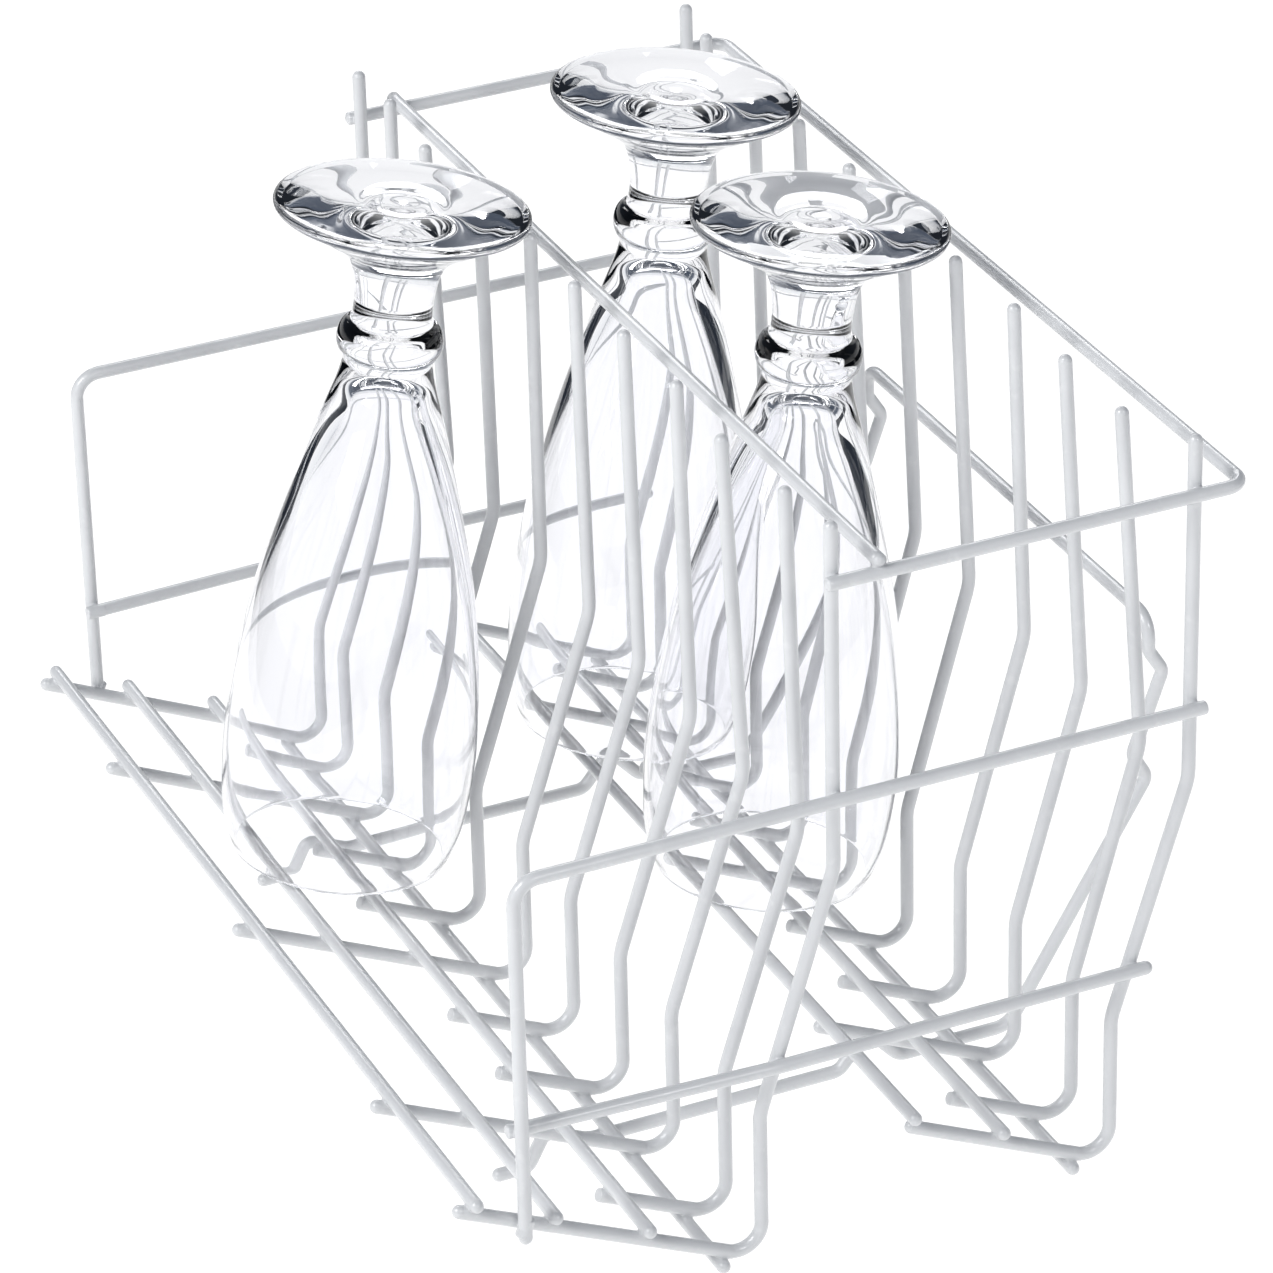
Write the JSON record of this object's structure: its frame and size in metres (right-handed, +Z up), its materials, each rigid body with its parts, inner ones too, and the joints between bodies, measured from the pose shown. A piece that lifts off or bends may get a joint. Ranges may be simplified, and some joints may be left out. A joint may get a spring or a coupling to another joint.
{
  "type": "glass washer rack insert",
  "caption": "Coated wire insert that holds beer glasses upside down in a glass washer, in two sloping rows between upright prongs, with a hanger wire at its side.",
  "frame": {"origin": "on the surface that the insert stands on, under the middle of its width and length", "axes": "+X from the low, open side of the rows towards the hanger's side rail, +Y along the rows from the near end to the far end, +Z up"},
  "size_m": [0.231, 0.2974, 0.222],
  "materials": {
    "coated_wire": "steel wire with a pale grey semi-gloss plastic coat",
    "clear_glass": "clear polished soda-lime glass"
  },
  "bodies": {
    "rack": {"left_prong_1": "coated_wire", "left_prong_2": "coated_wire", "left_prong_3": "coated_wire", "left_prong_4": "coated_wire", "left_prong_5": "coated_wire", "left_prong_6": "coated_wire", "left_prong_7": "coated_wire", "left_prong_8": "coated_wire", "left_prong_9": "coated_wire", "left_prong_10": "coated_wire", "left_prong_11": "coated_wire", "right_prong_1": "coated_wire", "right_prong_2": "coated_wire", "right_prong_3": "coated_wire", "right_prong_4": "coated_wire", "right_prong_5": "coated_wire", "right_prong_6": "coated_wire", "right_prong_7": "coated_wire", "right_prong_8": "coated_wire", "right_prong_9": "coated_wire", "right_prong_10": "coated_wire", "right_prong_11": "coated_wire", "left_floor_rail_1": "coated_wire", "left_floor_rail_2": "coated_wire", "left_floor_rail_3": "coated_wire", "left_floor_rail_4": "coated_wire", "right_floor_rail_1": "coated_wire", "right_floor_rail_2": "coated_wire", "right_floor_rail_3": "coated_wire", "top_frame": "coated_wire", "top_rail": "coated_wire", "near_end_frame": "coated_wire", "near_end_brace": "coated_wire", "far_end_frame": "coated_wire", "far_end_brace": "coated_wire", "hanger": "coated_wire"},
    "left_glass": {"glass_left": "clear_glass"},
    "middle_glass": {"glass_middle": "clear_glass"},
    "right_glass": {"glass_right": "clear_glass"}
  },
  "joints": [
    {"name": "left_glass_lift", "type": "slide", "parent": "rack", "child": "left_glass", "axis": [0.0523, 0, 0.9986], "range_m": [0, 0.18]},
    {"name": "middle_glass_lift", "type": "slide", "parent": "rack", "child": "middle_glass", "axis": [0.0523, 0, 0.9986], "range_m": [0, 0.18]},
    {"name": "right_glass_lift", "type": "slide", "parent": "rack", "child": "right_glass", "axis": [0.0523, 0, 0.9986], "range_m": [0, 0.18]}
  ]
}
